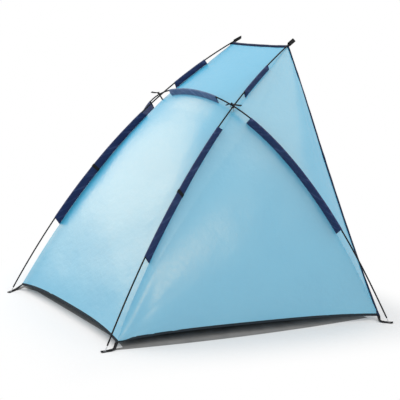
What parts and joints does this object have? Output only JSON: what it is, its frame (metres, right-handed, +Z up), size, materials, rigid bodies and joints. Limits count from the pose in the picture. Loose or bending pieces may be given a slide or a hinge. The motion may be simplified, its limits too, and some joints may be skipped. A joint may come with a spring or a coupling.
{
  "type": "beach tent",
  "caption": "Open-fronted beach tent: sprung poles in sleeves carry a sewn cloth canopy, held at its corners by eyelet tabs on the pole pins, over a loose groundsheet.",
  "frame": {"origin": "centre of the bounding box's bottom face, on the ground", "axes": "+Z up; X across the tent from its left to its right; the open front looks along -Y"},
  "size_m": [2.0338, 1.343, 1.2382],
  "materials": {
    "fibreglass": "black pultruded fibreglass rod, satin",
    "steel": "bright plated steel",
    "elastic": "sheathed elastic cord",
    "canopy_cloth": "light blue coated polyester, silky",
    "sleeve_cloth": "navy polyester",
    "top_sleeve_cloth": "navy polyester, a little lighter",
    "hem_tape": "dark grey binding tape",
    "mouth_tape": "navy binding tape",
    "webbing": "black woven webbing",
    "groundsheet_cloth": "dark grey coated sheet"
  },
  "bodies": {
    "tent": {"rear_pole_left_lower": "fibreglass", "rear_pole_left_middle": "fibreglass", "rear_pole_left_upper": "fibreglass", "rear_pole_right_lower": "fibreglass", "rear_pole_right_middle": "fibreglass", "rear_pole_right_upper": "fibreglass", "arch_pole_right_leg": "fibreglass", "arch_pole_right_shoulder": "fibreglass", "arch_pole_crown": "fibreglass", "arch_pole_left_shoulder": "fibreglass", "arch_pole_left_leg": "fibreglass", "spigot_rear_left_1": "steel", "spigot_rear_left_2": "steel", "spigot_rear_right_1": "steel", "spigot_rear_right_2": "steel", "spigot_arch_1": "steel", "spigot_arch_2": "steel", "spigot_arch_3": "steel", "spigot_arch_4": "steel", "shock_cord_rear_left": "elastic", "shock_cord_rear_right": "elastic", "shock_cord_arch": "elastic", "foot_pin_rear_left": "steel", "foot_pin_rear_right": "steel", "foot_pin_front_left": "steel", "foot_pin_front_right": "steel", "back_wall": "canopy_cloth", "roof_panel": "canopy_cloth", "rear_side_panel_left": "canopy_cloth", "front_side_panel_left": "canopy_cloth", "rear_side_panel_right": "canopy_cloth", "front_side_panel_right": "canopy_cloth", "hem_binding": "hem_tape", "mouth_binding": "mouth_tape", "rear_sleeve_left": "sleeve_cloth", "upper_sleeve_left": "sleeve_cloth", "arch_sleeve_left": "sleeve_cloth", "sleeve_band_left": "webbing", "crossing_tie_left": "webbing", "rear_sleeve_right": "sleeve_cloth", "upper_sleeve_right": "sleeve_cloth", "arch_sleeve_right": "sleeve_cloth", "sleeve_band_right": "webbing", "crossing_tie_right": "webbing", "arch_sleeve_top": "top_sleeve_cloth", "corner_strap_rear_left": "webbing", "corner_strap_rear_right": "webbing", "corner_strap_front_left": "webbing", "corner_strap_front_right": "webbing", "groundsheet": "groundsheet_cloth"},
    "rear_left_tab": {"corner_tab_rear_left": "webbing", "eyelet_rear_left": "steel"},
    "rear_right_tab": {"corner_tab_rear_right": "webbing", "eyelet_rear_right": "steel"},
    "front_left_tab": {"corner_tab_front_left": "webbing", "eyelet_front_left": "steel"},
    "front_right_tab": {"corner_tab_front_right": "webbing", "eyelet_front_right": "steel"},
    "left_tip_pocket": {"tip_pocket_left": "webbing"},
    "right_tip_pocket": {"tip_pocket_right": "webbing"}
  },
  "joints": [
    {"name": "rear_left_tab_slide", "type": "slide", "parent": "tent", "child": "rear_left_tab", "axis": [0.0973, -0.5292, 0.8429], "range_m": [0, 0.019], "deforming": ["corner_strap_rear_left"]},
    {"name": "rear_right_tab_slide", "type": "slide", "parent": "tent", "child": "rear_right_tab", "axis": [-0.0973, -0.5292, 0.8429], "range_m": [0, 0.019], "deforming": ["corner_strap_rear_right"]},
    {"name": "front_left_tab_slide", "type": "slide", "parent": "tent", "child": "front_left_tab", "axis": [0.3083, 0.3204, 0.8957], "range_m": [0, 0.02], "deforming": ["corner_strap_front_left"]},
    {"name": "front_right_tab_slide", "type": "slide", "parent": "tent", "child": "front_right_tab", "axis": [-0.3083, 0.3204, 0.8957], "range_m": [0, 0.02], "deforming": ["corner_strap_front_right"]},
    {"name": "left_tip_pocket_slide", "type": "slide", "parent": "tent", "child": "left_tip_pocket", "axis": [0.1639, -0.8912, 0.423], "range_m": [0, 0.045]},
    {"name": "right_tip_pocket_slide", "type": "slide", "parent": "tent", "child": "right_tip_pocket", "axis": [-0.1639, -0.8912, 0.423], "range_m": [0, 0.045]}
  ]
}
